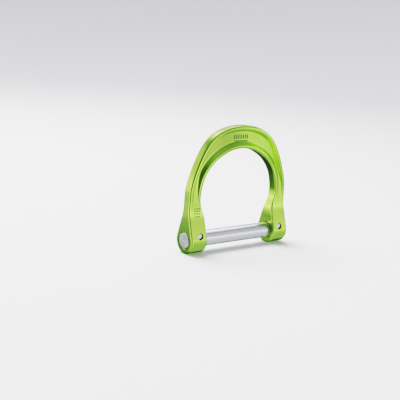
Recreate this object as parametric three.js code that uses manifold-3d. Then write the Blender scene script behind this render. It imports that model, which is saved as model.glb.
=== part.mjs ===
// Openable harness ring: a forged aluminium half ring whose two teardrop eyes
// are joined by a straight round bar. The bar slides in from the side and is
// locked in each eye by a headless cross screw that sits in a groove of the bar.
//
// Units are millimetres. X runs along the bar, Y through the ring (front is -Y),
// Z points from the bar to the crown of the arch. The origin is on the bar's
// axis, midway between the eyes.
import * as THREE from 'three';
import { mergeVertices } from 'three/addons/utils/BufferGeometryUtils.js';
import Module from 'manifold-3d';

// ---------------------------------------------------------------- dimensions
const BAR_RADIUS = 6.0;            // cross bar
const BAR_HALF_LENGTH = 47.7;      // its end faces stand 0.3 proud of the ring's sides
const BAR_CHAMFER = 0.6;
const BORE_RADIUS = 6.3;           // bores of the eyes
const BORE_CHAMFER = 0.45;
const EYE_RADIUS = 10.2;           // round foot of each eye, about the bar's axis
const EYE_INNER_X = 33.1;          // inner side faces of the eyes
const SIDE_X = 47.4;               // outer side faces of the eyes
const SIDE_FLAT_TOP = 13.0;        // they are vertical up to here
const CREASE = [46.8, 37.4];       // where the sides meet the arch
const FLANK_SLOPE = 0.30;          // the flanks' lean: depth lost per unit of height
const HALF_DEPTH = 4.2;            // half thickness of legs and arch
const NECK_BLEND = 25;             // radius from the flank to the leg
const EDGE = 1.0;                  // broken edges
const SCREW_X = 39.1;              // cross screws, from the middle of the bar
const SCREW_Z = 4.3;               // and above its axis
const SCREW_RADIUS = 2.25;
const SCREW_FRONT = -8.4;          // the plain end, recessed in the front face
const SCREW_BACK = 8.4;            // the socket end
const SCREW_HOLE_RADIUS = 2.55;
const SCREW_CHAMFER = 0.4;
const SOCKET_AF = 2.5;             // hexagon socket across flats
const SOCKET_DEPTH = 3.0;
const RIM_OUTER = 3.1;             // flat rims left around the pockets
const RIM_INNER = 2.6;
const WALL_OUTER = 1.15;           // width of the pockets' sloping walls at full depth
const WALL_INNER = 2.65;
const POCKET_DEPTH = 3.0;          // in the arch; the floor rises down the legs
const POCKET_END = 29.0;           // and runs out at this height
const POCKET_END_DEPTH = 0.127;
const POCKET_RAMP = 0.127;         // depth gained per unit of height above that
const ROUND_SIDES = 48;

// Outer and inner edge of the arch, right half, from the crown to the leg.
const OUTER = [[0, 84.9], [4.3, 84.75], [8.6, 84.3], [12.8, 83.55], [17.0, 82.35],
  [21.0, 80.75], [24.8, 78.65], [28.2, 76.05], [31.2, 73.05], [33.9, 69.7], [36.2, 66.1],
  [38.15, 62.4], [39.9, 58.8], [41.45, 55.1], [42.95, 51.3], [44.25, 47.6], [45.4, 43.8],
  [46.2, 40.4], CREASE, [46.95, 33.5], [47.05, 29.0], [47.2, 21.0], [SIDE_X, SIDE_FLAT_TOP]];
const INNER = [[0, 67.4], [2.9, 67.25], [5.8, 66.9], [8.6, 66.3], [11.3, 65.55], [14.0, 64.5],
  [16.6, 63.3], [19.2, 61.9], [21.7, 60.35], [24.0, 58.7], [26.1, 56.85], [28.1, 54.8],
  [29.9, 52.6], [31.5, 50.3], [32.9, 47.9], [34.1, 45.2], [35.1, 42.2], [35.9, 39.0],
  [36.45, 35.8], [36.75, 32.6], [36.6, 29.4], [35.95, 26.0], [34.9, 22.8], [33.9, 19.8],
  [33.3, 17.0], [EYE_INNER_X, 14.0]];

// ------------------------------------------------------------------- solids
const wasm = await Module();
wasm.setup();

function toManifold(geometry) {
  let g = geometry.clone();
  g.deleteAttribute('normal');
  g.deleteAttribute('uv');
  g = mergeVertices(g, 1e-5);
  return new wasm.Manifold(new wasm.Mesh({
    numProp: 3,
    vertProperties: new Float32Array(g.attributes.position.array),
    triVerts: new Uint32Array(g.index.array),
  }));
}

function toGeometry(manifold) {
  const m = manifold.getMesh();
  const g = new THREE.BufferGeometry();
  g.setAttribute('position', new THREE.BufferAttribute(new Float32Array(m.vertProperties), 3));
  g.setIndex(new THREE.BufferAttribute(new Uint32Array(m.triVerts), 1));
  g.computeVertexNormals();
  return g;
}

const shapeOf = (points) => new THREE.Shape(points.map(([a, b]) => new THREE.Vector2(a, b)));

// An outline in (x, z) made solid from y0 to y1, with its edges broken by `edge`.
function plateXZ(points, y0, y1, edge = 0) {
  const g = new THREE.ExtrudeGeometry(shapeOf(points), {
    depth: y1 - y0 - 2 * edge, steps: 1, curveSegments: 1,
    bevelEnabled: edge > 0, bevelThickness: edge, bevelSize: edge, bevelOffset: -edge, bevelSegments: 1,
  });
  g.rotateX(Math.PI / 2);                       // (x, y, z) -> (x, -z, y)
  g.translate(0, y1 - edge, 0);
  return g;
}

// An outline in (y, z) made solid from x0 to x1.
function plateYZ(points, x0, x1, edge = 0) {
  const g = new THREE.ExtrudeGeometry(shapeOf(points), {
    depth: x1 - x0 - 2 * edge, steps: 1, curveSegments: 1,
    bevelEnabled: edge > 0, bevelThickness: edge, bevelSize: edge, bevelOffset: -edge, bevelSegments: 1,
  });
  g.applyMatrix4(new THREE.Matrix4().set(0, 0, 1, x0 + edge, 1, 0, 0, 0, 0, 1, 0, 0, 0, 0, 0, 1));
  return g;
}

// A round rod along Y or X, closed on its axis, with both ends chamfered.
function rod(radius, a, b, chamfer, axis, sides = ROUND_SIDES) {
  const c = chamfer;
  const profile = c > 0
    ? [[0, a], [radius - c, a], [radius, a + c], [radius, b - c], [radius - c, b], [0, b]]
    : [[0, a], [radius, a], [radius, b], [0, b]];
  const g = new THREE.LatheGeometry(profile.map(([r, h]) => new THREE.Vector2(r, h)), sides);
  if (axis === 'x') g.rotateZ(-Math.PI / 2);    // the lathe's axis is Y
  return g;
}

// The cutter for the right eye's bore, with both its mouths chamfered.
function countersunkBore() {
  const over = 2;
  const wide = BORE_RADIUS + BORE_CHAMFER + over;
  const profile = [[0, EYE_INNER_X - over], [wide, EYE_INNER_X - over], [BORE_RADIUS, EYE_INNER_X + BORE_CHAMFER],
    [BORE_RADIUS, SIDE_X - BORE_CHAMFER], [wide, SIDE_X + over], [0, SIDE_X + over]];
  const g = new THREE.LatheGeometry(profile.map(([r, h]) => new THREE.Vector2(r, h)), 64);
  g.rotateZ(-Math.PI / 2);
  return g;
}

// A solid between two rings of equally many points; `caps` holds the triangles
// that close the first ring, in the ring's own direction.
function loft(ringA, ringB, caps) {
  const n = ringA.length;
  const points = [...ringA, ...ringB].map(([x, y, z]) => new THREE.Vector3(x, y, z));
  const triangles = [];
  for (const [i, j, k] of caps) triangles.push([i, j, k], [n + i, n + k, n + j]);
  for (let i = 0; i < n; i++) {
    const j = (i + 1) % n;
    triangles.push([i, n + i, j], [j, n + i, n + j]);
  }
  let volume = 0;
  for (const [i, j, k] of triangles) volume += points[i].dot(points[j].clone().cross(points[k]));
  const g = new THREE.BufferGeometry();
  g.setFromPoints(points);
  g.setIndex(triangles.flatMap(([i, j, k]) => (volume > 0 ? [i, j, k] : [i, k, j])));
  return toManifold(g);
}

// --------------------------------------------------------------- side profile
// Half depth of an eye at height z: a round foot, a leaning flank, a blend, the leg.
const flankAngle = Math.atan(FLANK_SLOPE);
const tangent = [EYE_RADIUS * Math.cos(flankAngle), EYE_RADIUS * Math.sin(flankAngle)];
const meetZ = tangent[1] + (tangent[0] - HALF_DEPTH) / FLANK_SLOPE;
const blendRun = NECK_BLEND * Math.tan(flankAngle / 2);
function eyeHalfProfile(blendSteps = 6, footSteps = 22) {
  const pts = [];
  for (let i = 0; i <= footSteps; i++) {
    const a = -Math.PI / 2 + (flankAngle + Math.PI / 2) * i / footSteps;
    pts.push([EYE_RADIUS * Math.cos(a), EYE_RADIUS * Math.sin(a)]);
  }
  const centre = [HALF_DEPTH + NECK_BLEND, meetZ + blendRun];
  for (let i = 0; i <= blendSteps; i++) {
    const a = Math.PI - (-flankAngle) * (1 - i / blendSteps);
    pts.push([centre[0] + NECK_BLEND * Math.cos(a), centre[1] + NECK_BLEND * Math.sin(a)]);
  }
  // above the leg's own faces the eye runs out into their broken edges
  pts.push([HALF_DEPTH - EDGE - 0.05, centre[1] + 2.5 * EDGE]);
  return pts;                                    // from the foot up to the leg
}
const half = eyeHalfProfile();
const topZ = half[half.length - 1][1];
const eyeProfile = [...half, ...half.slice(1).reverse().map(([y, z]) => [-y, z])];

// -------------------------------------------------------------- front outline
const mirror = (pts) => pts.map(([x, z]) => [-x, z]);
const outerHalf = [...OUTER, [SIDE_X, -EYE_RADIUS]];
const innerHalf = [...INNER, [EYE_INNER_X, -EYE_RADIUS]];
const ringOutline = [
  ...outerHalf, ...[...innerHalf].reverse(),
  ...mirror(innerHalf).slice(1), ...[...mirror(outerHalf)].reverse().slice(0, -1),
];

// The legs' own thickness stops inside the eyes, so that it adds nothing at the foot.
const legFoot = 2.0;
const outerLeg = [...OUTER, [SIDE_X, legFoot]];
const innerLeg = [...INNER, [EYE_INNER_X, legFoot]];
const archOutline = [
  ...outerLeg, ...[...innerLeg].reverse(),
  ...mirror(innerLeg).slice(1), ...[...mirror(outerLeg)].reverse().slice(0, -1),
];

// --------------------------------------------------------------------- pockets
// Stations along the arch, each joining a point of the outer edge to its partner
// on the inner edge; the pocket's edges are set in along these lines.
function resample(points, n) {
  const curve = new THREE.CatmullRomCurve3(points.map(([x, z]) => new THREE.Vector3(x, 0, z)), false, 'centripetal');
  return curve.getSpacedPoints(n).map((p) => [p.x, p.z]);
}
const STATIONS = 24;
const TIP_POINTS = 5;
const upTo = (pts, z) => {
  const out = [];
  for (let i = 0; i < pts.length; i++) {
    if (pts[i][1] >= z) out.push(pts[i]);
    else {
      const [a, b] = [pts[i - 1], pts[i]];
      const t = (a[1] - z) / (a[1] - b[1]);
      out.push([a[0] + (b[0] - a[0]) * t, z]);
      break;
    }
  }
  return out;
};
const outerStations = resample(upTo(OUTER, POCKET_END), STATIONS);
const innerStations = resample(upTo(INNER, POCKET_END), STATIONS);
const floorDepth = (z) => Math.max(0.1, Math.min(POCKET_DEPTH, POCKET_END_DEPTH + POCKET_RAMP * (z - POCKET_END)));

// The pocket's outline where it is depthAt(z) deep; negative depths lie above the
// face, so that the walls keep their slope a little way out of it.
function pocketRing(depthAt, endRun, face) {
  const a = [], b = [];
  outerStations.forEach(([ox, oz], i) => {
    const [ix, iz] = innerStations[i];
    const w = Math.hypot(ix - ox, iz - oz);
    const [dx, dz] = [(ix - ox) / w, (iz - oz) / w];
    const insetOuter = RIM_OUTER + WALL_OUTER * depthAt(oz) / POCKET_DEPTH;
    const insetInner = RIM_INNER + WALL_INNER * depthAt(iz) / POCKET_DEPTH;
    a.push([ox + dx * insetOuter, oz + dz * insetOuter]);
    b.push([ix - dx * insetInner, iz - dz * insetInner]);
  });
  const [p, q] = [a[a.length - 1], b[b.length - 1]];
  const m = [(p[0] + q[0]) / 2, (p[1] + q[1]) / 2];
  const tip = [];
  for (let i = 1; i <= TIP_POINTS; i++) {        // rounded end below the last station
    const s = Math.PI * i / (TIP_POINTS + 1);
    tip.push([m[0] + (p[0] - m[0]) * Math.cos(s), m[1] + (p[1] - m[1]) * Math.cos(s) - endRun * Math.sin(s)]);
  }
  const right = [...a, ...tip, ...b.reverse()];
  const outline = [...right, ...mirror(right).reverse().slice(1, -1)];
  return outline.map(([x, z]) => [x, face * (HALF_DEPTH - depthAt(z)), z]);
}

// Triangles across the pocket from station to station, then the rounded ends.
const stationCount = STATIONS + 1;
const rightCount = 2 * stationCount + TIP_POINTS;
const across = (i) => rightCount - 1 - i;        // partner of station i on the inner side
const caps = [];
for (let i = 0; i < STATIONS; i++) caps.push([i, i + 1, across(i + 1)], [i, across(i + 1), across(i)]);
for (let i = stationCount; i < across(STATIONS); i++) caps.push([STATIONS, i, i + 1]);
const opposite = (i) => (2 * rightCount - 2 - i) % (2 * rightCount - 2);
for (const [i, j, k] of [...caps]) caps.push([opposite(i), opposite(k), opposite(j)]);

const overrun = 0.5;
const pocket = (face) => loft(pocketRing(() => -overrun, 1.2, face), pocketRing(floorDepth, 0.5, face), caps);

// ------------------------------------------------------------------- ring body
const archPlate = toManifold(plateXZ(archOutline, -HALF_DEPTH, HALF_DEPTH, EDGE));
const outlinePlate = toManifold(plateXZ(ringOutline, -EYE_RADIUS - 1, EYE_RADIUS + 1, 0));
const eyeLeft = toManifold(plateYZ(eyeProfile, -SIDE_X, -EYE_INNER_X, EDGE));
const eyeRight = toManifold(plateYZ(eyeProfile, EYE_INNER_X, SIDE_X, EDGE));
let ring = archPlate.add(eyeLeft.add(eyeRight).intersect(outlinePlate));
ring = ring.subtract(pocket(-1)).subtract(pocket(1));
for (const turn of [0, Math.PI]) {
  const bore = countersunkBore();
  bore.rotateZ(turn);
  ring = ring.subtract(toManifold(bore));
}
for (const x of [-SCREW_X, SCREW_X]) {
  const hole = rod(SCREW_HOLE_RADIUS, -EYE_RADIUS - 2, EYE_RADIUS + 2, 0, 'y', 32);
  hole.translate(x, 0, SCREW_Z);
  ring = ring.subtract(toManifold(hole));
}

// ------------------------------------------------------------------- cross bar
let bar = toManifold(rod(BAR_RADIUS, -BAR_HALF_LENGTH, BAR_HALF_LENGTH, BAR_CHAMFER, 'x', 64));
for (const x of [-SCREW_X, SCREW_X]) {
  const groove = rod(SCREW_HOLE_RADIUS, -BAR_RADIUS - 2, BAR_RADIUS + 2, 0, 'y', 32);
  groove.translate(x, 0, SCREW_Z);
  bar = bar.subtract(toManifold(groove));
}

// ----------------------------------------------------------------- lock screws
function lockScrew() {
  const body = toManifold(rod(SCREW_RADIUS, SCREW_FRONT, SCREW_BACK, SCREW_CHAMFER, 'y', 32));
  const hex = new THREE.CylinderGeometry(SOCKET_AF / Math.sqrt(3), SOCKET_AF / Math.sqrt(3), SOCKET_DEPTH + 1, 6);
  hex.translate(0, SCREW_BACK - SOCKET_DEPTH + (SOCKET_DEPTH + 1) / 2, 0);
  return toGeometry(body.subtract(toManifold(hex)));
}

// -------------------------------------------------------------------- assembly
const anodisedGreen = (name) => new THREE.MeshStandardMaterial({ name, color: 0x86c232, roughness: 0.32, metalness: 1.0 });
const bareAluminium = (name) => new THREE.MeshStandardMaterial({ name, color: 0xc9c9cc, roughness: 0.3, metalness: 1.0 });
const brightSteel = (name) => new THREE.MeshStandardMaterial({ name, color: 0xd8d8dc, roughness: 0.22, metalness: 1.0 });

function node(name, geometry, material, x = 0, z = 0) {
  const mesh = new THREE.Mesh(geometry, material);
  mesh.name = name;
  mesh.position.set(x, 0, z);
  return mesh;
}

const harnessRing = new THREE.Group();
harnessRing.name = 'openable_harness_ring';
harnessRing.add(
  node('ring_body', toGeometry(ring), anodisedGreen('ring_body')),
  node('cross_bar', toGeometry(bar), bareAluminium('cross_bar')),
  node('lock_screw_left', lockScrew(), brightSteel('lock_screw_left'), -SCREW_X, SCREW_Z),
  node('lock_screw_right', lockScrew(), brightSteel('lock_screw_right'), SCREW_X, SCREW_Z),
);

export default harnessRing;
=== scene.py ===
"""Openable harness ring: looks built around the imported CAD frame.

Shapes are worked out in millimetres in the CAD frame and written in metres.
"""

import math

import bmesh
import bpy
import numpy as np
from mathutils import Matrix, Vector


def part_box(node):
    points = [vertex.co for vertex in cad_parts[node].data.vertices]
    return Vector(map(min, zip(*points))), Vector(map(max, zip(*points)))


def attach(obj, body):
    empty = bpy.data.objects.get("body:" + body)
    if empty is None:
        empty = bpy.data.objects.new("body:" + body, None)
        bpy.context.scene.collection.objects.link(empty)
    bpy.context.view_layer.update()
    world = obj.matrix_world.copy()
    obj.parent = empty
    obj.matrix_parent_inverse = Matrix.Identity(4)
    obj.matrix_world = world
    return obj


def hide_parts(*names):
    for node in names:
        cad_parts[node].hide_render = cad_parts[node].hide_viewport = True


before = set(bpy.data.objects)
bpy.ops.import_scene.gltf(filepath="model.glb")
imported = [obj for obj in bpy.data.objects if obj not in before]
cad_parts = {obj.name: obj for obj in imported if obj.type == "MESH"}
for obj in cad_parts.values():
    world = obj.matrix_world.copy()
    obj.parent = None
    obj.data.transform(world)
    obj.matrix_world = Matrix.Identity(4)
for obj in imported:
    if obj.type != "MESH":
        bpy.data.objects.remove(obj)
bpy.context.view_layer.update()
MM = 0.001

# --------------------------------------------------------------------------- camera
cam_data = bpy.data.cameras.new("camera")
cam_data.sensor_width = 36.0
cam_data.lens = 67.838
cam_data.clip_start, cam_data.clip_end = 0.01, 50.0
cam = bpy.data.objects.new("camera", cam_data)
bpy.context.scene.collection.objects.link(cam)
right = Vector((0.799729972603659, -0.5970902725526456, 0.06257137798033692))
up = Vector((0.0802599651769163, 0.20961836648988913, 0.9744836983859252))
look = Vector((0.5949708471086217, 0.7743018447951148, -0.2155605349727336))
turn = Matrix((right, up, -look)).transposed().to_4x4()
cam.matrix_world = Matrix.Translation(Vector((-367.2476, -432.7181, 150.2046)) * MM) @ turn
bpy.context.scene.camera = cam

# ----------------------------------------------------------------------- dimensions
lo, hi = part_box("ring_body")
SIDE_X = hi.x / MM                      # outer side faces
FOOT_Z = lo.z / MM                      # bottom of the eyes
CROWN_Z = hi.z / MM                     # top of the arch
EYE_R = -FOOT_Z
b_lo, b_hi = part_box("cross_bar")
BAR_R = b_hi.z / MM
BAR_HALF = b_hi.x / MM
s_lo, s_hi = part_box("lock_screw_right")
SCREW_X = (s_lo.x + s_hi.x) / 2 / MM
SCREW_Z = (s_lo.z + s_hi.z) / 2 / MM
SCREW_Y0, SCREW_Y1 = s_lo.y / MM, s_hi.y / MM
SCREW_HOLE_R = 2.55
BORE_R = 6.3
EYE_IN = 33.1
FLANK = 0.30
HALF_DEPTH = 4.2
NECK_BLEND = 25.0
EDGE_OUT, EDGE_IN = 1.6, 1.25           # rounded edges along the outer and the inner outline
FAN_Z = 37.4                            # level of the outline's crease
POCKET = 3.0
RIM_OUT, RIM_IN = 3.1, 2.6
SLOPE_OUT, SLOPE_IN = 2.6, 1.12
FLOOR_BLEND = 1.1
LIP_OUT, LIP_IN = 0.9, 0.4              # rounding of the pockets' mouths
RUN_OUT = 28.0                          # where the pockets' floors come up to the face

OUTER_ARCH = [(-8.6, 84.3), (-4.3, 84.75), (0, 84.9), (4.3, 84.75), (8.6, 84.3), (12.8, 83.55), (17.0, 82.35),
              (21.0, 80.75), (24.8, 78.65), (28.2, 76.05), (31.2, 73.05), (33.9, 69.7), (36.2, 66.1),
              (38.15, 62.4), (39.9, 58.8), (41.45, 55.1), (42.95, 51.3), (44.25, 47.6), (45.4, 43.8),
              (46.2, 40.4), (46.8, 37.4)]
OUTER_SIDE = [(46.8, 37.4), (46.93, 33.5), (47.05, 29.0), (47.21, 21.0), (47.31, 15.0), (47.37, 9.5), (SIDE_X, 3.5)]
INNER = [(-5.8, 66.9), (-2.9, 67.25), (0, 67.4), (2.9, 67.25), (5.8, 66.9), (8.6, 66.3), (11.3, 65.55),
         (14.0, 64.5), (16.6, 63.3), (19.2, 61.9), (21.7, 60.35), (24.0, 58.7), (26.1, 56.85), (28.1, 54.8),
         (29.9, 52.6), (31.5, 50.3), (32.9, 47.9), (34.1, 45.2), (35.1, 42.2), (35.9, 39.0), (36.45, 35.8),
         (36.75, 32.6), (36.6, 29.4), (35.95, 26.0), (34.9, 22.8), (33.9, 19.8), (33.3, 17.0), (EYE_IN, 14.0),
         (EYE_IN, 10.0)]


def mesh_object(name, verts_mm, faces, smooth=True):
    me = bpy.data.meshes.new(name)
    v = np.asarray(verts_mm, float) * MM
    if isinstance(faces, np.ndarray):
        n, k = faces.shape
        me.vertices.add(len(v))
        me.vertices.foreach_set("co", v.astype(np.float32).ravel())
        me.loops.add(n * k)
        me.loops.foreach_set("vertex_index", faces.astype(np.int32).ravel())
        me.polygons.add(n)
        me.polygons.foreach_set("loop_start", np.arange(0, n * k, k, dtype=np.int32))
        me.polygons.foreach_set("loop_total", np.full(n, k, np.int32))
    else:
        me.from_pydata([tuple(p) for p in v], [], faces)
    me.update(calc_edges=True)
    me.validate()
    if smooth:
        me.polygons.foreach_set("use_smooth", np.ones(len(me.polygons), bool))
    ob = bpy.data.objects.new(name, me)
    bpy.context.scene.collection.objects.link(ob)
    return ob


def lathe(profile, axis, sides, name, centre=(0, 0, 0), phase=0.0):
    """A closed solid of revolution from (radius, height) pairs that start and end on the axis."""
    rows, poles = [], []
    verts, faces = [], []

    def put(r, h, a):
        c, s = r * math.cos(a), r * math.sin(a)
        p = {"x": (h, c, s), "y": (c, h, -s), "z": (c, s, h)}[axis]
        verts.append(tuple(p[i] + centre[i] for i in range(3)))
        return len(verts) - 1

    for r, h in profile:
        if r < 1e-9:
            rows.append([put(0, h, 0)])
        else:
            rows.append([put(r, h, phase + 2 * math.pi * i / sides) for i in range(sides)])
    for a, b in zip(rows, rows[1:]):
        if len(a) == 1 and len(b) == 1:
            continue
        for i in range(sides):
            j = (i + 1) % sides
            if len(a) == 1:
                faces.append((a[0], b[i], b[j]))
            elif len(b) == 1:
                faces.append((a[i], b[0], a[j]))
            else:
                faces.append((a[i], b[i], b[j], a[j]))
    ob = mesh_object(name, verts, faces)
    bm = bmesh.new()
    bm.from_mesh(ob.data)
    bmesh.ops.recalc_face_normals(bm, faces=bm.faces)
    bm.to_mesh(ob.data)
    bm.free()
    return ob


def cut(ob, cutter, solver="EXACT"):
    mod = ob.modifiers.new("cut", "BOOLEAN")
    mod.operation, mod.solver, mod.object = "DIFFERENCE", solver, cutter
    dg = bpy.context.evaluated_depsgraph_get()
    me = bpy.data.meshes.new_from_object(ob.evaluated_get(dg), depsgraph=dg)
    ob.modifiers.remove(mod)
    old = ob.data
    ob.data = me
    bpy.data.meshes.remove(old)
    me.name = ob.name
    cm = cutter.data
    bpy.data.objects.remove(cutter)
    bpy.data.meshes.remove(cm)


def sharpen(ob, degrees):
    """Smooth shading with edges over the angle kept sharp."""
    me = ob.data
    me.polygons.foreach_set("use_smooth", np.ones(len(me.polygons), bool))
    bm = bmesh.new()
    bm.from_mesh(me)
    for e in bm.edges:
        e.smooth = not (len(e.link_faces) == 2 and e.calc_face_angle(0) > math.radians(degrees))
    bm.to_mesh(me)
    bm.free()
    me.update()


# ------------------------------------------------------------------------ ring body
def spline(points, step=0.35):
    """Centripetal Catmull-Rom through the points, sampled about every `step`."""
    p = np.array(points, float)
    p = np.vstack([2 * p[0] - p[1], p, 2 * p[-1] - p[-2]])
    out = []
    for i in range(1, len(p) - 2):
        p0, p1, p2, p3 = p[i - 1:i + 3]
        t0 = 0.0
        t1 = t0 + max(np.linalg.norm(p1 - p0), 1e-6) ** 0.5
        t2 = t1 + max(np.linalg.norm(p2 - p1), 1e-6) ** 0.5
        t3 = t2 + max(np.linalg.norm(p3 - p2), 1e-6) ** 0.5
        n = max(2, int(round(np.linalg.norm(p2 - p1) / step)))
        for t in np.linspace(t1, t2, n, endpoint=False):
            a1 = (t1 - t) / (t1 - t0) * p0 + (t - t0) / (t1 - t0) * p1
            a2 = (t2 - t) / (t2 - t1) * p1 + (t - t1) / (t2 - t1) * p2
            a3 = (t3 - t) / (t3 - t2) * p2 + (t - t2) / (t3 - t2) * p3
            b1 = (t2 - t) / (t2 - t0) * a1 + (t - t0) / (t2 - t0) * a2
            b2 = (t3 - t) / (t3 - t1) * a2 + (t - t1) / (t3 - t1) * a3
            out.append((t2 - t) / (t2 - t1) * b1 + (t - t1) / (t2 - t1) * b2)
    out.append(p[-2])
    return np.array(out)


def from_crown(points):
    """Keep the part of a symmetric line that runs from its crown to the right."""
    line = spline(points)
    line = line[line[:, 0] > 1e-6]
    return np.vstack([[(0.0, points[[q[0] for q in points].index(0)][1])], line])


outer_line = np.vstack([from_crown(OUTER_ARCH), spline(OUTER_SIDE)[1:], [(SIDE_X, FOOT_Z - 6)]])
inner_line = np.vstack([from_crown(INNER), [(EYE_IN, FOOT_Z - 6)]])

# side profile of the eyes and legs: round foot, leaning flank, blend, straight leg
fa = math.atan(FLANK)
TAN_Y, TAN_Z = EYE_R * math.cos(fa), EYE_R * math.sin(fa)
meet_z = TAN_Z + (TAN_Y - HALF_DEPTH) / FLANK
run = NECK_BLEND * math.tan(fa / 2)
side = [(EYE_R * math.cos(a), EYE_R * math.sin(a)) for a in np.linspace(-math.pi / 2, fa, 160)]
cy, cz = HALF_DEPTH + NECK_BLEND, meet_z + run
side += [(cy + NECK_BLEND * math.cos(a), cz + NECK_BLEND * math.sin(a)) for a in np.linspace(math.pi + fa, math.pi, 50)]
side += [(HALF_DEPTH, CROWN_Z + 10)]
side_line = np.array(side)


def to_line(px, pz, line, chunk=8000):
    """Signed distance to an open polyline, positive on its left, and the distance's gradient."""
    a, b = line[:-1], line[1:]
    d = b - a
    dd = (d ** 2).sum(1)
    dist, gx, gz = np.empty(len(px)), np.empty(len(px)), np.empty(len(px))
    for i in range(0, len(px), chunk):
        x = px[i:i + chunk, None] - a[None, :, 0]
        z = pz[i:i + chunk, None] - a[None, :, 1]
        t = np.clip((x * d[:, 0] + z * d[:, 1]) / dd, 0, 1)
        ex, ez = x - t * d[:, 0], z - t * d[:, 1]
        r2 = ex ** 2 + ez ** 2
        k = r2.argmin(1)
        rows = np.arange(len(k))
        r = np.sqrt(r2[rows, k])
        tk = t[rows, k]
        nb = np.where(tk >= 1, np.minimum(k + 1, len(a) - 1), np.where(tk <= 0, np.maximum(k - 1, 0), k))
        c1 = (d[k, 0] * z[rows, k] - d[k, 1] * x[rows, k]) / np.sqrt(dd[k])
        c2 = (d[nb, 0] * z[rows, nb] - d[nb, 1] * x[rows, nb]) / np.sqrt(dd[nb])
        s = np.where(np.abs(c2) > np.abs(c1), np.sign(c2), np.sign(c1))
        s = np.where(s == 0, 1.0, s)
        near = r < 1e-5
        rr = np.where(near, 1.0, r)
        ln = np.sqrt(dd[k])
        dist[i:i + chunk] = s * r
        gx[i:i + chunk] = np.where(near, -d[k, 1] / ln, s * ex[rows, k] / rr)
        gz[i:i + chunk] = np.where(near, d[k, 0] / ln, s * ez[rows, k] / rr)
    return dist, gx, gz


def smin(a, b, k):
    h = np.clip(0.5 + 0.5 * (b - a) / k, 0, 1)
    return b * (1 - h) + a * h - k * h * (1 - h)


def rmax(a, b, r):
    """Intersection of two solids with its edge rounded to radius r."""
    u, v = np.maximum(r + a, 0), np.maximum(r + b, 0)
    return np.minimum(-r, np.maximum(a, b)) + np.sqrt(u * u + v * v)


def pocket_depth(z):
    """Depth of the pockets' floor: full in the arch, running out down the legs."""
    rise = 0.127 * (z - RUN_OUT)
    start, end = RUN_OUT - 2.8, RUN_OUT + 2.8
    blend = 0.127 * (z - start) ** 2 / (2 * (end - start))
    ramp = np.where(z > end, rise, np.where(z > start, blend, 0.9 * (z - start)))
    return smin(ramp, np.full(np.shape(ramp), POCKET), 0.6)


def ring_mix(do, di, s, ay, z):
    """The body's field from the distances to its outlines (inward), its side profile and |y|, z."""
    rise = np.clip((z - 36.0) / 8.0, 0, 1)
    rise = rise * rise * (3 - 2 * rise)
    crown = 0.22 * rise * np.clip(ay / HALF_DEPTH, 0, 1.2) ** 2
    plan = rmax(-do + crown, -di + crown * 0.8, 0.05)
    t = np.clip(0.5 + (do - di) / 8.0, 0, 1)
    body = rmax(plan, s, EDGE_OUT + (EDGE_IN - EDGE_OUT) * t)
    walls = smin(SLOPE_OUT * (do - RIM_OUT), SLOPE_IN * (di - RIM_IN), 0.5)
    deep = pocket_depth(z)
    hollow = smin(walls, deep, FLOOR_BLEND * np.clip(deep / 1.5, 0.02, 1))
    lip = np.minimum(LIP_OUT + (LIP_IN - LIP_OUT) * t, np.maximum(deep, 0) * 0.6 + 0.03)
    return rmax(body, (ay - HALF_DEPTH + hollow) / 1.35, lip)


def field(v, grad=False):
    ax, ay, z = np.abs(v[:, 0]), np.abs(v[:, 1]), v[:, 2]
    do, ox, oz = to_line(ax, z, outer_line)
    do, ox, oz = -do, -ox, -oz
    di, ix, iz = to_line(ax, z, inner_line)
    s, sy, sz = to_line(ay, z, side_line)
    s, sy, sz = -s, -sy, -sz
    f = ring_mix(do, di, s, ay, z)
    if not grad:
        return f
    e = 1e-4
    f_do = (ring_mix(do + e, di, s, ay, z) - f) / e
    f_di = (ring_mix(do, di + e, s, ay, z) - f) / e
    f_s = (ring_mix(do, di, s + e, ay, z) - f) / e
    f_y = (ring_mix(do, di, s, ay + e, z) - f) / e
    f_z = (ring_mix(do, di, s, ay, z + e) - f) / e
    sgx = np.where(v[:, 0] < 0, -1.0, 1.0)
    sgy = np.where(v[:, 1] < 0, -1.0, 1.0)
    g = np.stack([(f_do * ox + f_di * ix) * sgx, (f_s * sy + f_y) * sgy, f_do * oz + f_di * iz + f_s * sz + f_z], 1)
    return f, g


def solve(start, direction, reach_in, reach_out, steps=26):
    """Move each start point along its direction to where the field changes sign."""
    lo_t = np.full(len(start), -float(reach_in))
    hi_t = np.full(len(start), float(reach_out))
    for _ in range(steps):
        mid = (lo_t + hi_t) / 2
        out = field(start + direction * mid[:, None]) > 0
        hi_t = np.where(out, mid, hi_t)
        lo_t = np.where(out, lo_t, mid)
    return start + direction * ((lo_t + hi_t) / 2)[:, None]


def crossing(theta, line):
    """Distance from the fan's centre to a line in the direction theta from straight up."""
    ang = np.arctan2(line[:, 0], line[:, 1] - FAN_Z)
    rad = np.hypot(line[:, 0], line[:, 1] - FAN_Z)
    keep = np.concatenate([[True], np.diff(np.maximum.accumulate(ang)) > 1e-9])
    return np.interp(theta, ang[keep], rad[keep])


def level(z, line):
    part = line[line[:, 1] < FAN_Z + 2][::-1]
    return np.interp(z, part[:, 1], part[:, 0])


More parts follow.
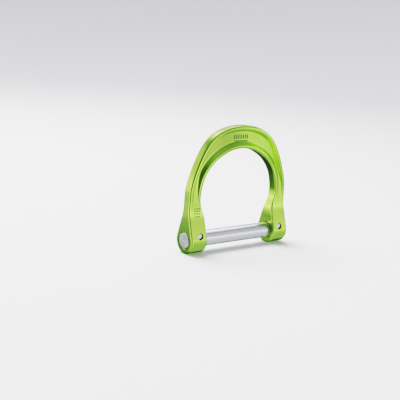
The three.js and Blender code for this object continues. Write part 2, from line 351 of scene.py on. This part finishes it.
def build_ring():
    step = 0.55
    # stations: a fan over the arch, level lines down the legs, then round the foot
    n_fan, n_leg, n_foot = int(78 / step), int((FAN_Z - TAN_Z) / step), int(19 / step)
    theta = np.linspace(0, math.pi / 2, n_fan + 1)
    ri, ro = crossing(theta, inner_line), crossing(theta, outer_line)
    ux, uz = np.sin(theta), np.cos(theta)
    zz = np.linspace(FAN_Z, TAN_Z, n_leg + 1)[1:]
    aa = np.linspace(fa, -math.pi / 2, n_foot + 1)[1:]
    # in plan: start (inner side), unit direction outwards, length; then the foot's angle
    A = np.vstack([np.stack([ri * ux, FAN_Z + ri * uz], 1), np.stack([level(zz, inner_line), zz], 1),
                   np.stack([np.full(n_foot, EYE_IN), np.full(n_foot, 0.0)], 1)])
    D = np.vstack([np.stack([ux, uz], 1), np.tile([1.0, 0.0], (n_leg + n_foot, 1))])
    L = np.concatenate([ro - ri, level(zz, outer_line) - level(zz, inner_line), np.full(n_foot, SIDE_X - EYE_IN)])
    foot = np.concatenate([np.full(n_fan + 1 + n_leg, np.nan), aa])
    K = len(L)
    is_foot = ~np.isnan(foot)

    # columns over the front, by distance from the inner or from the outer outline
    zmid = np.where(is_foot, 0.0, A[:, 1] + D[:, 1] * L / 2)
    depth = np.maximum(pocket_depth(zmid), 0.9)
    wall_i = np.maximum(depth / SLOPE_IN - 0.75, 0.2)
    wall_o = np.maximum(depth / SLOPE_OUT - 0.55, 0.15)
    ci = [np.full(K, EDGE_IN), np.full(K, EDGE_IN + 0.45), np.full(K, RIM_IN - 0.4)]
    for o in (-0.22, -0.08, 0.06, 0.2, 0.35):
        ci.append(np.full(K, RIM_IN + o))
    base = RIM_IN + 0.35
    for f in (0.33, 0.66, 1.0):
        ci.append(base + wall_i * f)
    for o in (0.2, 0.4, 0.62, 0.88, 1.2):
        ci.append(base + wall_i + o)
    co = [np.full(K, EDGE_OUT), np.full(K, EDGE_OUT + 0.35)]
    for o in (-0.85, -0.65, -0.48, -0.32, -0.17, -0.03, 0.11, 0.25):
        co.append(np.full(K, RIM_OUT + o))
    base = RIM_OUT + 0.25
    for f in (0.5, 1.0):
        co.append(base + wall_o * f)
    for o in (0.18, 0.36, 0.56, 0.8, 1.1):
        co.append(base + wall_o + o)

    def plan_at(target, from_outer):
        """Distance along each station's line where the inward distance equals the target."""
        w = L - target if from_outer else target.copy()
        for _ in range(4):
            x = A[:, 0] + D[:, 0] * w
            z = np.where(is_foot, 0.0, A[:, 1] + D[:, 1] * w)
            d, gx, gz = to_line(x, z, outer_line if from_outer else inner_line)
            if from_outer:
                d, gx, gz = -d, -gx, -gz
            slope = gx * D[:, 0] + gz * D[:, 1]
            w = w + (target - d) / slope
        return w

    wi = [plan_at(c, False) for c in ci]
    wo = [plan_at(c, True) for c in co]
    mids = [wi[-1] + (wo[-1] - wi[-1]) * f for f in (1 / 6, 2 / 6, 3 / 6, 4 / 6, 5 / 6)]
    W = np.stack(wi + mids + wo[::-1], 1)

    def point(w, y):
        """A point from its place along the station's line and y; on the foot y is the radius."""
        x = A[:, 0] + D[:, 0] * w
        z = A[:, 1] + D[:, 1] * w
        ang = np.where(is_foot, foot, 0.0)
        px = x
        py = np.where(is_foot, -y * np.cos(ang), -y)
        pz = np.where(is_foot, y * np.sin(ang), z)
        return np.stack([px, py, pz], 1)

    ang = np.where(is_foot, foot, 0.0)
    front = np.stack([np.zeros(K), -np.cos(ang), np.where(is_foot, np.sin(ang), 0.0)], 1)
    plan_out = np.stack([D[:, 0], np.zeros(K), D[:, 1]], 1)

    cols = []
    n_lat = 6
    n_fil = 8

    def half_at(w):
        z = A[:, 1] + D[:, 1] * w
        h = np.array([np.interp(q, side_line[80:, 1], side_line[80:, 0]) for q in z])
        return np.where(is_foot, EYE_R, h)

    def edge(outer):
        """Lateral wall from the middle plane to the edge, then the rounded edge up to the front."""
        r = EDGE_OUT if outer else EDGE_IN
        outward = plan_out if outer else -plan_out
        w_c = wo[0] if outer else wi[0]
        h = half_at(w_c)
        centre = point(w_c, h - r)
        rows = []
        # where the wall's middle lies: the foot's lines gather on the bar's axis
        z0 = centre[:, 2]
        zmid_line = np.where(is_foot, 0.0, np.where(z0 >= 14, z0, 14 * (z0 - TAN_Z) / (14 - TAN_Z)))
        mid = centre.copy()
        mid[:, 1] = 0.0
        mid[:, 2] = np.where(z0 >= 14, mid[:, 2], zmid_line)
        mid[is_foot, 2] = 0.0
        for f in np.linspace(0, 1, n_lat, endpoint=False):
            p = mid * (1 - f) + centre * f
            rows.append(solve(p, outward, r * 0.5, r * 2.5))
        for f in np.linspace(0, 1, n_fil):
            q = f * math.pi / 2
            dirn = outward * math.cos(q) + front * math.sin(q)
            rows.append(solve(centre, dirn, r * 0.3, r * 1.9))
        return rows

    inner_rows = edge(False)
    outer_rows = edge(True)
    cols += inner_rows
    for j in range(1, W.shape[1] - 1):
        h = half_at(W[:, j])
        p = point(W[:, j], h - 3.6)
        cols.append(solve(p, front, 0.0, 4.2))
    cols += outer_rows[::-1]
    grid = np.stack(cols, 1)                       # station, column, xyz
    grid[0, :, 0] = 0.0
    grid[-1, :, 1] = 0.0
    grid[:, 0, 1] = 0.0
    grid[:, -1, 1] = 0.0
    n, m = grid.shape[:2]
    verts, faces = [], []
    for sx in (1, -1):
        for sy in (1, -1):
            base = len(verts) * n * m
            verts.append((grid * np.array([sx, sy, 1.0])).reshape(-1, 3))
            i, j = np.meshgrid(np.arange(n - 1), np.arange(m - 1), indexing="ij")
            q = np.stack([i * m + j, (i + 1) * m + j, (i + 1) * m + j + 1, i * m + j + 1], -1).reshape(-1, 4) + base
            if sx * sy > 0:
                q = q[:, ::-1]
            faces.append(q)
    ob = mesh_object("ring_forging", np.vstack(verts), np.vstack(faces))
    bm = bmesh.new()
    bm.from_mesh(ob.data)
    bmesh.ops.remove_doubles(bm, verts=bm.verts, dist=2e-6)
    bmesh.ops.dissolve_degenerate(bm, dist=1e-7, edges=bm.edges)
    bm.to_mesh(ob.data)
    bm.free()
    return ob


def exact_normals(ob):
    """Shade the skin of the forging with the exact direction of its surface."""
    me = ob.data
    nv, nl, nf = len(me.vertices), len(me.loops), len(me.polygons)
    co = np.empty(nv * 3)
    me.vertices.foreach_get("co", co)
    co = co.reshape(-1, 3) / MM
    lv = np.empty(nl, np.int32)
    me.loops.foreach_get("vertex_index", lv)
    total = np.empty(nf, np.int32)
    me.polygons.foreach_get("loop_total", total)
    lf = np.repeat(np.arange(nf), total)
    centre = np.zeros((nf, 3))
    np.add.at(centre, lf, co[lv])
    centre /= total[:, None]
    fn = np.empty(nf * 3)
    me.polygons.foreach_get("normal", fn)
    fn = fn.reshape(-1, 3)

    def direction(p):
        f, g = field(p, True)
        return f, g / np.maximum(np.linalg.norm(g, axis=1), 1e-9)[:, None]

    fv, gv = direction(co)
    mean = np.zeros((nf, 3))
    np.add.at(mean, lf, gv[lv])
    worst = np.zeros(nf)
    np.maximum.at(worst, lf, np.abs(fv[lv]))
    mean /= np.maximum(np.linalg.norm(mean, axis=1), 1e-9)[:, None]
    skin = (worst < 0.03) & ((mean * fn).sum(1) > 0.8)
    normals = np.zeros((nl, 3))
    use = skin[lf]
    normals[use] = gv[lv[use]]
    # on the crease each side keeps its own direction
    crease = use & (np.abs(co[lv][:, 2] - FAN_Z) < 0.4) & (np.abs(co[lv][:, 0]) > 46)
    _, gc = direction(co[lv[crease]] * 0.97 + centre[lf[crease]] * 0.03)
    normals[crease] = gc
    me.normals_split_custom_set(normals.tolist())
    me.update()


ring = build_ring()
for sx in (-1, 1):
    face, inner = sx * SIDE_X, sx * EYE_IN
    c = 0.45
    prof = [(0, inner - sx * 3), (BORE_R + 3 + c, inner - sx * 3), (BORE_R + c, inner), (BORE_R, inner + sx * c),
            (BORE_R, face - sx * c), (BORE_R + c, face), (BORE_R + c + 3, face + sx * 3), (0, face + sx * 3)]
    cut(ring, lathe(prof, "x", 96, "cutter"))
    prof = [(0, -EYE_R - 3), (SCREW_HOLE_R, -EYE_R - 3), (SCREW_HOLE_R, EYE_R + 3), (0, EYE_R + 3)]
    cut(ring, lathe(prof, "y", 64, "cutter", centre=(sx * SCREW_X, 0, SCREW_Z)))
sharpen(ring, 30)
exact_normals(ring)

# ------------------------------------------------------------------------ cross bar
def build_bar():
    c = 0.55
    end = [(0.0, BAR_HALF - 0.10), (0.35, BAR_HALF - 0.10), (0.55, BAR_HALF - 0.02)]
    r = 0.55
    k = 0
    while r < BAR_R - c - 0.35:
        r += 0.21
        k += 1
        end.append((r, BAR_HALF - (0.018 if k % 2 else 0.0)))
    end += [(BAR_R - c - 0.08, BAR_HALF), (BAR_R - c + 0.02, BAR_HALF - 0.03), (BAR_R - 0.07, BAR_HALF - c + 0.03),
            (BAR_R, BAR_HALF - c - 0.09)]
    prof = [(r, -x) for r, x in end]
    body = np.linspace(-BAR_HALF + c + 1.0, BAR_HALF - c - 1.0, 60)
    prof += [(BAR_R, x) for x in body]
    prof += list(reversed(end))
    ob = lathe(prof, "x", 128, "turned_bar")
    for sx in (-1, 1):
        g = [(0, -BAR_R - 2), (SCREW_HOLE_R, -BAR_R - 2), (SCREW_HOLE_R, BAR_R + 2), (0, BAR_R + 2)]
        cut(ob, lathe(g, "y", 64, "cutter", centre=(sx * SCREW_X, 0, SCREW_Z)))
    sharpen(ob, 30)
    return ob


bar = build_bar()


# ---------------------------------------------------------------------- lock screws
def build_screw(name, x0):
    """Headless screw: plain end in front, hexagon socket behind, fine thread between."""
    pitch, minor, major, sides = 0.8, 2.02, 2.38, 72
    length = SCREW_Y1 - SCREW_Y0
    rows = int(round(length / 0.1))
    verts, faces = [], []
    hs = np.linspace(0, length, rows + 1)
    for h in hs:
        for i in range(sides):
            a = 2 * math.pi * i / sides
            ph = (h / pitch - i / sides) % 1.0
            tooth = 1 - abs(2 * ph - 1)
            tooth = min(1.0, max(0.0, (tooth - 0.12) / 0.70))
            fade = min(1.0, max(0.0, (h - 0.8) / 0.8)) * min(1.0, max(0.0, (length - 0.5 - h) / 0.6))
            r = minor + (major - minor) * (0.25 + (tooth - 0.25) * fade)
            edge = min(h, length - h)
            r = min(r, minor - 0.35 + edge * 1.0 + 0.12) if edge < 0.7 else r
            verts.append((x0 + r * math.cos(a), SCREW_Y0 + h, SCREW_Z - r * math.sin(a)))
    for k in range(rows):
        for i in range(sides):
            j = (i + 1) % sides
            faces.append((k * sides + i, (k + 1) * sides + i, (k + 1) * sides + j, k * sides + j))
    # front end: a flat face with a shallow turned dimple; back end: flat annulus
    def cap(base, y, dish, flip):
        ring_prev = list(range(base, base + sides))
        for rr, dy in ((1.25, 0.0), (0.9, dish * 0.6), (0.45, dish)):
            start = len(verts)
            for i in range(sides):
                a = 2 * math.pi * i / sides
                verts.append((x0 + rr * math.cos(a), y + dy, SCREW_Z - rr * math.sin(a)))
            for i in range(sides):
                j = (i + 1) % sides
                f = (ring_prev[i], ring_prev[j], start + j, start + i)
                faces.append(f if flip else f[::-1])
            ring_prev = list(range(start, start + sides))
        c = len(verts)
        verts.append((x0, y + dish, SCREW_Z))
        for i in range(sides):
            j = (i + 1) % sides
            f = (ring_prev[i], ring_prev[j], c)
            faces.append(f if flip else f[::-1])
    cap(0, SCREW_Y0, 0.06, True)
    cap(rows * sides, SCREW_Y1, 0.0, False)
    ob = mesh_object(name, verts, faces)
    bm = bmesh.new()
    bm.from_mesh(ob.data)
    bmesh.ops.recalc_face_normals(bm, faces=bm.faces)
    bm.to_mesh(ob.data)
    bm.free()
    af = 2.5
    hexa = lathe([(0, SCREW_Y1 - 3.6), (af / math.sqrt(3) * 0.98, SCREW_Y1 - 2.9), (af / math.sqrt(3), SCREW_Y1 - 0.25),
                  (af / math.sqrt(3) + 0.0, SCREW_Y1 + 1), (0, SCREW_Y1 + 1)], "y", 6, "cutter", centre=(x0, 0, SCREW_Z))
    cut(ob, hexa)
    sharpen(ob, 32)
    return ob


screws = {}
for side_name, sx in (("left", -1), ("right", 1)):
    screws[side_name] = build_screw("threaded_lock_screw_" + side_name, sx * SCREW_X)


# ----------------------------------------------------------------------- laser marks
def mark_strokes():
    """Plain generic marks: a row of upright bars on the crown, a grid of squares on the leg."""
    crown, leg = [], []

    def bar(strokes, x0, z0, x1, z1):
        strokes.append([(x0, z0), (x1, z0), (x1, z1), (x0, z1)])

    # crown: seven equal upright bars over one rule
    for k in range(7):
        bar(crown, -7.4 + 2.1 * k, 74.6, -6.3 + 2.1 * k, 77.8)
    bar(crown, -7.4, 72.9, 6.3, 73.5)
    # leg: nine equal squares over one rule
    for row in range(3):
        for col in (-1, 0, 1):
            x, z = -40.2 + 1.9 * col, 24.4 - 1.9 * row
            bar(leg, x - 0.55, z - 0.55, x + 0.55, z + 0.55)
    bar(leg, -42.65, 18.3, -37.75, 18.9)
    return crown, leg


def build_marks(name, strokes, guess_y):
    """Thin closed strips draped over the front skin of the forging."""
    verts, faces = [], []
    for quad in strokes:
        p = np.array(quad, float)
        area2 = sum(p[i, 0] * p[(i + 1) % 4, 1] - p[(i + 1) % 4, 0] * p[i, 1] for i in range(4))
        if area2 < 0:
            p = p[::-1]
        nu = max(1, int(np.linalg.norm(p[1] - p[0]) / 0.5))
        nv = max(1, int(np.linalg.norm(p[3] - p[0]) / 0.5))
        u, v = np.meshgrid(np.linspace(0, 1, nu + 1), np.linspace(0, 1, nv + 1), indexing="ij")
        xz = ((1 - u) * (1 - v))[..., None] * p[0] + (u * (1 - v))[..., None] * p[1] + (u * v)[..., None] * p[2] + ((1 - u) * v)[..., None] * p[3]
        flat = xz.reshape(-1, 2)
        start = np.stack([flat[:, 0], np.full(len(flat), guess_y), flat[:, 1]], 1)
        on = solve(start, np.tile([0.0, -1.0, 0.0], (len(flat), 1)), 2.5, 2.5)
        out_, in_ = on + [0, -0.025, 0], on + [0, 0.05, 0]
        base = len(verts)
        n = len(flat)
        verts += [tuple(q) for q in out_] + [tuple(q) for q in in_]
        idx = lambda i, j: i * (nv + 1) + j
        for i in range(nu):
            for j in range(nv):
                a, b, c, d = idx(i, j), idx(i + 1, j), idx(i + 1, j + 1), idx(i, j + 1)
                faces.append((base + a, base + b, base + c, base + d))
                faces.append((base + n + a, base + n + d, base + n + c, base + n + b))
        rim = [idx(i, 0) for i in range(nu + 1)] + [idx(nu, j) for j in range(1, nv + 1)]
        rim += [idx(i, nv) for i in range(nu - 1, -1, -1)] + [idx(0, j) for j in range(nv - 1, 0, -1)]
        for a, b in zip(rim, rim[1:] + rim[:1]):
            faces.append((base + a, base + n + a, base + n + b, base + b))
    return mesh_object(name, verts, faces, smooth=False)


crown_strokes, leg_strokes = mark_strokes()
crown_mark = build_marks("crown_mark", crown_strokes, -HALF_DEPTH + POCKET)
leg_mark = build_marks("leg_mark", leg_strokes, -HALF_DEPTH)


# ------------------------------------------------------------------------ materials
def material(name):
    m = bpy.data.materials.new(name)
    m.use_nodes = True
    nt = m.node_tree
    for n in list(nt.nodes):
        nt.nodes.remove(n)
    out = nt.nodes.new("ShaderNodeOutputMaterial")
    bsdf = nt.nodes.new("ShaderNodeBsdfPrincipled")
    nt.links.new(bsdf.outputs["BSDF"], out.inputs["Surface"])
    return m, nt, bsdf


def node(nt, kind, **values):
    n = nt.nodes.new(kind)
    for k, v in values.items():
        if k in n.inputs:
            n.inputs[k].default_value = v
        else:
            setattr(n, k, v)
    return n


def anodised():
    """Satin lime anodising: dyed metal under a thin clear oxide skin, with a fine grain; its base colour also carries
    painted reflection in lighter and darker patches.
    """
    m, nt, b = material("anodised_green_forging")
    tc = node(nt, "ShaderNodeTexCoord")

    def noise(scale, detail, rough=0.5):
        n = node(nt, "ShaderNodeTexNoise")
        n.inputs["Scale"].default_value = scale
        n.inputs["Detail"].default_value = detail
        n.inputs["Roughness"].default_value = rough
        nt.links.new(tc.outputs["Object"], n.inputs["Vector"])
        return n

    def remap(src, lo_in, hi_in, lo_out, hi_out):
        n = node(nt, "ShaderNodeMapRange")
        for key, val in zip(("From Min", "From Max", "To Min", "To Max"), (lo_in, hi_in, lo_out, hi_out)):
            n.inputs[key].default_value = val
        nt.links.new(src, n.inputs["Value"])
        return n.outputs["Result"]

    grain, cloud = noise(1500, 3), noise(60, 4)
    ramp = node(nt, "ShaderNodeValToRGB")
    ramp.color_ramp.elements[0].position = 0.36
    ramp.color_ramp.elements[0].color = (0.310, 0.62, 0.060, 1)
    ramp.color_ramp.elements[1].position = 0.64
    ramp.color_ramp.elements[1].color = (0.345, 0.66, 0.070, 1)
    nt.links.new(cloud.outputs["Fac"], ramp.inputs["Fac"])

    # painted reflection: the base colour is scaled darker on the crown left of the middle, and lighter on the crown
    # right of the middle, up the legs and at the feet
    split = node(nt, "ShaderNodeSeparateXYZ")
    nt.links.new(tc.outputs["Object"], split.inputs["Vector"])

    def math_node(op, a, c):
        n = node(nt, "ShaderNodeMath")
        n.operation = op
        for k, v in enumerate((a, c)):
            if isinstance(v, (int, float)):
                n.inputs[k].default_value = v
            else:
                nt.links.new(v, n.inputs[k])
        return n.outputs[0]

    def rise(coord, at0, at1):
        n = node(nt, "ShaderNodeMapRange")
        n.interpolation_type = "SMOOTHSTEP"
        nt.links.new(split.outputs[coord], n.inputs["Value"])
        n.inputs["From Min"].default_value, n.inputs["From Max"].default_value = at0 * MM, at1 * MM
        return n.outputs["Result"]

    crown = rise("Z", 56, 66)
    # painted shade: a darker patch on the crown, left of the middle
    dip = math_node("MULTIPLY", math_node("SUBTRACT", rise("X", -27, -15), rise("X", -12, 0)), crown)
    # painted highlight: lighter on the crown, right of the middle
    pale = math_node("MULTIPLY", rise("X", -4, 9), crown)
    # painted highlight: a lighter band up the legs, and a little lighter at the feet
    leg = math_node("SUBTRACT", rise("Z", 15.5, 20), rise("Z", 26, 32))
    foot = math_node("SUBTRACT", 1.0, rise("Z", 6, 11))
    # the painted shade and painted highlight patches scale the lime colour into the base colour
    painted_reflection_tone = math_node("ADD", 1.0, math_node("MULTIPLY", dip, -0.20))
    for patch, gain in ((pale, 0.30), (leg, 0.38), (foot, 0.10)):
        painted_reflection_tone = math_node("ADD", painted_reflection_tone, math_node("MULTIPLY", patch, gain))
    dye_and_painted_reflection = node(nt, "ShaderNodeVectorMath")
    dye_and_painted_reflection.operation = "SCALE"
    nt.links.new(ramp.outputs["Color"], dye_and_painted_reflection.inputs[0])
    nt.links.new(painted_reflection_tone, dye_and_painted_reflection.inputs["Scale"])
    nt.links.new(dye_and_painted_reflection.outputs["Vector"], b.inputs["Base Color"])
    rough = node(nt, "ShaderNodeMath")
    rough.operation = "ADD"
    nt.links.new(remap(grain.outputs["Fac"], 0.3, 0.7, 0.155, 0.205), rough.inputs[0])
    nt.links.new(remap(cloud.outputs["Fac"], 0.3, 0.7, -0.015, 0.02), rough.inputs[1])
    nt.links.new(rough.outputs[0], b.inputs["Roughness"])
    bump = node(nt, "ShaderNodeBump")
    bump.inputs["Strength"].default_value = 0.08
    bump.inputs["Distance"].default_value = 0.00005
    nt.links.new(grain.outputs["Fac"], bump.inputs["Height"])
    nt.links.new(bump.outputs["Normal"], b.inputs["Normal"])
    b.inputs["Metallic"].default_value = 1.0
    b.inputs["Coat Weight"].default_value = 0.12
    b.inputs["Coat Roughness"].default_value = 0.16
    b.inputs["Coat IOR"].default_value = 1.5
    return m


def turned(name, colour, rough, ends=None):
    """Bright turned metal. `ends` is the distance of the faced-off ends, which take a radial sheen."""
    m, nt, b = material(name)
    tc = node(nt, "ShaderNodeTexCoord")
    noise = node(nt, "ShaderNodeTexNoise")
    noise.inputs["Scale"].default_value = 1.0
    noise.inputs["Detail"].default_value = 3
    stretch = node(nt, "ShaderNodeMapping")
    stretch.vector_type = "POINT"
    stretch.inputs["Scale"].default_value = (1500.0, 10.0, 10.0) if ends else (10.0, 1500.0, 10.0)
    nt.links.new(tc.outputs["Object"], stretch.inputs["Vector"])
    nt.links.new(stretch.outputs["Vector"], noise.inputs["Vector"])
    rr = node(nt, "ShaderNodeMapRange")
    rr.inputs["From Min"].default_value, rr.inputs["From Max"].default_value = 0.3, 0.7
    rr.inputs["To Min"].default_value, rr.inputs["To Max"].default_value = rough * 0.95, rough * 1.05
    nt.links.new(noise.outputs["Fac"], rr.inputs["Value"])
    nt.links.new(rr.outputs["Result"], b.inputs["Roughness"])
    ramp = node(nt, "ShaderNodeValToRGB")
    ramp.color_ramp.elements[0].position = 0.3
    ramp.color_ramp.elements[0].color = tuple(c * 0.97 for c in colour) + (1,)
    ramp.color_ramp.elements[1].position = 0.7
    ramp.color_ramp.elements[1].color = tuple(colour) + (1,)
    nt.links.new(noise.outputs["Fac"], ramp.inputs["Fac"])
    nt.links.new(ramp.outputs["Color"], b.inputs["Base Color"])
    b.inputs["Metallic"].default_value = 1.0
    if ends:
        split = node(nt, "ShaderNodeSeparateXYZ")
        nt.links.new(tc.outputs["Object"], split.inputs["Vector"])
        far = node(nt, "ShaderNodeMath")
        far.operation = "ABSOLUTE"
        nt.links.new(split.outputs["X"], far.inputs[0])
        at_end = node(nt, "ShaderNodeMath")
        at_end.operation = "GREATER_THAN"
        nt.links.new(far.outputs[0], at_end.inputs[0])
        at_end.inputs[1].default_value = (ends - 0.3) * MM
        sheen = node(nt, "ShaderNodeMapRange")
        sheen.inputs["To Min"].default_value, sheen.inputs["To Max"].default_value = 0.25, 0.8
        nt.links.new(at_end.outputs[0], sheen.inputs["Value"])
        nt.links.new(sheen.outputs["Result"], b.inputs["Anisotropic"])
        t = node(nt, "ShaderNodeTangent")
        t.direction_type = "RADIAL"
        t.axis = "X"
        nt.links.new(t.outputs["Tangent"], b.inputs["Tangent"])
    return m


green = anodised()
bar_metal = turned("turned_aluminium", (0.86, 0.85, 0.87), 0.27, BAR_HALF)
steel = turned("bright_steel", (0.86, 0.85, 0.87), 0.22)


def laser():
    """Laser marking: the dyed skin burnt matt and dark, a little uneven."""
    m, nt, b = material("laser_mark_dark_green")
    tc = node(nt, "ShaderNodeTexCoord")
    n = node(nt, "ShaderNodeTexNoise")
    n.inputs["Scale"].default_value = 1800
    n.inputs["Detail"].default_value = 4
    nt.links.new(tc.outputs["Object"], n.inputs["Vector"])
    ramp = node(nt, "ShaderNodeValToRGB")
    ramp.color_ramp.elements[0].position = 0.35
    ramp.color_ramp.elements[0].color = (0.012, 0.030, 0.008, 1)
    ramp.color_ramp.elements[1].position = 0.65
    ramp.color_ramp.elements[1].color = (0.026, 0.060, 0.014, 1)
    nt.links.new(n.outputs["Fac"], ramp.inputs["Fac"])
    nt.links.new(ramp.outputs["Color"], b.inputs["Base Color"])
    b.inputs["Metallic"].default_value = 0.35
    b.inputs["Roughness"].default_value = 0.5
    return m


mark_green = laser()
for o in (crown_mark, leg_mark):
    o.data.materials.clear()
    o.data.materials.append(mark_green)
    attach(o, "ring")

ring.data.materials.clear()
ring.data.materials.append(green)
bar.data.materials.clear()
bar.data.materials.append(bar_metal)
for o in screws.values():
    o.data.materials.clear()
    o.data.materials.append(steel)

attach(ring, "ring")
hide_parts("ring_body")
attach(bar, "ring")
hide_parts("cross_bar")
for side_name in ("left", "right"):
    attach(screws[side_name], "screw_" + side_name)
    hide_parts("lock_screw_" + side_name)

# ---------------------------------------------------------------------------- stage
def build_stage():
    """A plain pale floor that turns up into a round backdrop far away."""
    z0 = FOOT_Z * MM - 0.0001
    prof = [(0.0, z0)] + [(r, z0) for r in (0.05, 0.12, 0.25, 0.5, 0.9, 1.6)]
    prof += [(1.6 + 1.4 * math.sin(t), z0 + 1.4 - 1.4 * math.cos(t)) for t in np.linspace(0.05, math.pi / 2, 24)]
    prof += [(3.0, z0 + 4.0)]
    sides = 96
    verts = [(0.0, 0.0, z0)]
    for r, z in prof[1:]:
        verts += [(r * math.cos(2 * math.pi * i / sides), r * math.sin(2 * math.pi * i / sides), z) for i in range(sides)]
    faces = [(0, 1 + i, 1 + (i + 1) % sides) for i in range(sides)]
    for k in range(len(prof) - 2):
        p, q = 1 + k * sides, 1 + (k + 1) * sides
        faces += [(p + i, q + i, q + (i + 1) % sides, p + (i + 1) % sides) for i in range(sides)]
    me = bpy.data.meshes.new("floor")
    me.from_pydata(verts, [], faces)
    me.polygons.foreach_set("use_smooth", np.ones(len(me.polygons), bool))
    floor = bpy.data.objects.new("floor", me)
    bpy.context.scene.collection.objects.link(floor)
    m, nt, b = material("pale_floor")
    b.inputs["Base Color"].default_value = (0.86, 0.86, 0.86, 1)
    b.inputs["Roughness"].default_value = 0.7
    b.inputs["Specular IOR Level"].default_value = 0.2
    me.materials.append(m)
    floor.visible_glossy = False
    floor.visible_diffuse = False
    floor.visible_shadow = False


build_stage()

world = bpy.data.worlds.new("studio")
bpy.context.scene.world = world
world.use_nodes = True
wnt = world.node_tree
for n in list(wnt.nodes):
    wnt.nodes.remove(n)


def wmath(op, a, b=None):
    n = wnt.nodes.new("ShaderNodeMath")
    n.operation = op
    for k, v in enumerate((a, b)):
        if v is None:
            continue
        if isinstance(v, (int, float)):
            n.inputs[k].default_value = v
        else:
            wnt.links.new(v, n.inputs[k])
    return n.outputs[0]


w_dir = wnt.nodes.new("ShaderNodeTexCoord").outputs["Generated"]


def wdot(v):
    n = wnt.nodes.new("ShaderNodeVectorMath")
    n.operation = "DOT_PRODUCT"
    wnt.links.new(w_dir, n.inputs[0])
    n.inputs[1].default_value = v
    return n.outputs["Value"]


def wstep(value, edge0, edge1):
    n = wnt.nodes.new("ShaderNodeMapRange")
    n.interpolation_type = "SMOOTHSTEP"
    wnt.links.new(value, n.inputs["Value"])
    n.inputs["From Min"].default_value, n.inputs["From Max"].default_value = edge0, edge1
    n.inputs["To Min"].default_value, n.inputs["To Max"].default_value = 1.0, 0.0
    return n.outputs["Result"]


def panel(az, el, half_w, half_h, soft):
    """A soft-edged panel of the studio's light tent: 1 inside, 0 outside. Azimuth 0 is +Y, 90 is +X."""
    a, e = math.radians(az), math.radians(el)
    f = Vector((math.sin(a) * math.cos(e), math.cos(a) * math.cos(e), math.sin(e)))
    r = Vector((math.cos(a), -math.sin(a), 0.0))
    u = r.cross(f)
    x, y, z = wdot(f), wdot(r), wdot(u)
    side_a = wmath("ABSOLUTE", wmath("ARCTAN2", y, x))
    up_a = wmath("ABSOLUTE", wmath("ARCSINE", z))
    q = math.radians
    return wmath("MULTIPLY", wstep(side_a, q(half_w - soft), q(half_w + soft)),
                 wstep(up_a, q(half_h - soft), q(half_h + soft)))


PANELS = [
    # az, el, half width, half height, softness, strength
    (161, 4, 42, 12, 15, 1.80),       # long low box, front right
    (170, -13, 6, 27, 16, 2.90),      # upright strip beside it
    (166, -55, 45, 38, 6, 0.66),      # their glow on the table
    (-22, 13, 17, 22, 12, 1.23),      # pair of boxes behind, left
    (-56, 1, 30, 12, 5, 0.99),
    (-53, 21, 10, 18, 4, 1.95),
    (-78, -18, 23, 30, 15, 1.53),     # low box, left
    (34, 56, 29, 15, 9, 3.10),        # bright box above and behind
    (28, 54, 16, 40, 4, 1.11),
    (103, 21, 8, 10, 3, 3.10),        # small box, right
    (-114, -3, 6, 30, 6, 0.50),       # slim strip, front left
    (153, 38, 37, 7, 4, 0.69),        # narrow strip above the long box
]
# light that depends on height alone: elevation where it starts, where it is full, strength
DOME = [(30, 75, 0.53), (-80, -10, 0.07)]
BASE_LIGHT = 0.04
total_light = BASE_LIGHT
for az, el, hw, hh, soft, strength in PANELS:
    total_light = wmath("ADD", wmath("MULTIPLY", panel(az, el, hw, hh, soft), strength), total_light)
w_split = wnt.nodes.new("ShaderNodeSeparateXYZ")
wnt.links.new(w_dir, w_split.inputs["Vector"])
elevation = wmath("ARCSINE", w_split.outputs["Z"])
for e0, e1, strength in DOME:
    total_light = wmath("ADD", wmath("MULTIPLY", wstep(elevation, math.radians(e1), math.radians(e0)), strength), total_light)
# dim surroundings are a little cool, the lit boxes a little warm
tint = wnt.nodes.new("ShaderNodeValToRGB")
for pos, col in ((0.0, (0.60, 1.0, 1.02)), (0.10, (0.70, 1.0, 1.00)), (0.25, (0.92, 1.0, 1.00)),
                 (0.45, (1.08, 1.0, 1.08)), (0.8, (1.18, 1.0, 1.18))):
    if pos in (0.0,):
        stop = tint.color_ramp.elements[0]
    elif pos == 0.8:
        stop = tint.color_ramp.elements[len(tint.color_ramp.elements) - 1]
    else:
        stop = tint.color_ramp.elements.new(pos)
    stop.position = pos
    stop.color = col + (1,)
wnt.links.new(wmath("MULTIPLY", total_light, 1 / 3), tint.inputs["Fac"])
w_out = wnt.nodes.new("ShaderNodeOutputWorld")
tent = wnt.nodes.new("ShaderNodeBackground")
wnt.links.new(tint.outputs["Color"], tent.inputs["Color"])
wnt.links.new(total_light, tent.inputs["Strength"])
plain = wnt.nodes.new("ShaderNodeBackground")
plain.inputs["Color"].default_value = (1, 1, 1, 1)
plain.inputs["Strength"].default_value = 2.0
mix = wnt.nodes.new("ShaderNodeMixShader")
path = wnt.nodes.new("ShaderNodeLightPath")
wnt.links.new(path.outputs["Is Camera Ray"], mix.inputs["Fac"])
wnt.links.new(tent.outputs["Background"], mix.inputs[1])
wnt.links.new(plain.outputs["Background"], mix.inputs[2])
wnt.links.new(mix.outputs["Shader"], w_out.inputs["Surface"])


def area(name, az, el, distance, size, power, colour=(1, 1, 1), size_y=None, target=(0, 0, 0.04)):
    d = bpy.data.lights.new(name, "AREA")
    d.shape = "RECTANGLE"
    d.size, d.size_y = size, size_y or size
    d.energy = power
    d.color = colour
    o = bpy.data.objects.new(name, d)
    bpy.context.scene.collection.objects.link(o)
    a, e = math.radians(az), math.radians(el)
    f = Vector((math.sin(a) * math.cos(e), math.cos(a) * math.cos(e), math.sin(e)))
    o.location = Vector(target) + f * distance
    o.rotation_mode = "QUATERNION"
    o.rotation_quaternion = (-f).to_track_quat("-Z", "Y")
    o.visible_glossy = False
    return o


area("top_softbox", -20, 62, 1.2, 0.8, 44.0)

bpy.context.scene.view_settings.view_transform = "Filmic"
bpy.context.scene.view_settings.look = "Medium High Contrast"
